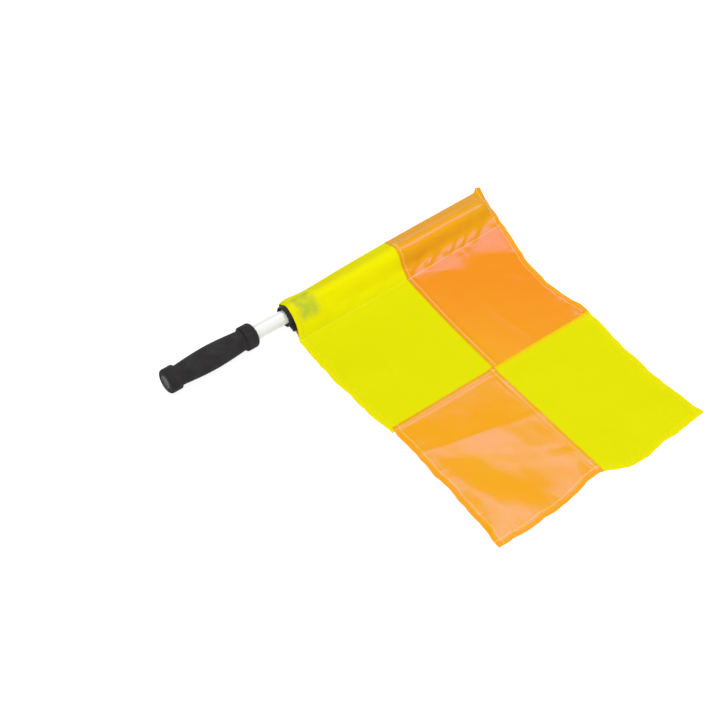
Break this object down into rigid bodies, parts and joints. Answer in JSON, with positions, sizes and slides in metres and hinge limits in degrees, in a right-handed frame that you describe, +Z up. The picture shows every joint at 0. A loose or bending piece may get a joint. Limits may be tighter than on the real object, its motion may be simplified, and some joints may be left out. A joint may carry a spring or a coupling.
{
  "type": "linesman flag",
  "caption": "Checked signal flag lying flat: a sewn cloth whose sleeve slides on and turns round a straight tube with a flared foam grip.",
  "frame": {"origin": "on the surface that the flag lies on, under the middle of the whole flag's box", "axes": "+X along the pole from butt to tip, +Y from the free fly edge towards the pole, +Z up from the surface it lies on"},
  "size_m": [0.5713, 0.5076, 0.038],
  "materials": {
    "tube_white": "glossy white rigid plastic tube",
    "foam_black": "matte closed-cell foam rubber",
    "plastic_black": "satin moulded plastic",
    "tape_black": "woven hook and loop tape",
    "cloth_yellow": "fluorescent yellow woven polyester",
    "cloth_orange": "fluorescent orange satin-faced polyester"
  },
  "bodies": {
    "pole": {"pole_tube": "tube_white", "foam_grip": "foam_black", "butt_plug": "plastic_black", "tip_cap": "plastic_black", "hook_tape_ring": "tape_black"},
    "tape_ring": {"loop_tape_ring": "tape_black"},
    "flag": {"yellow_hoist_check": "cloth_yellow", "orange_hoist_check": "cloth_orange", "orange_fly_check": "cloth_orange", "yellow_fly_check": "cloth_yellow", "loop_tape_tail": "tape_black"}
  },
  "joints": [
    {"name": "flag_slide", "type": "slide", "parent": "pole", "child": "tape_ring", "axis": [0.9999, 0, -0.0113], "range_m": [0, 0.36]},
    {"name": "flag_turn", "type": "hinge", "parent": "tape_ring", "child": "flag", "pos_m": [-0.0675, 0.2125, 0.01681], "axis": [0.9999, 0, -0.0113], "continuous": true}
  ]
}
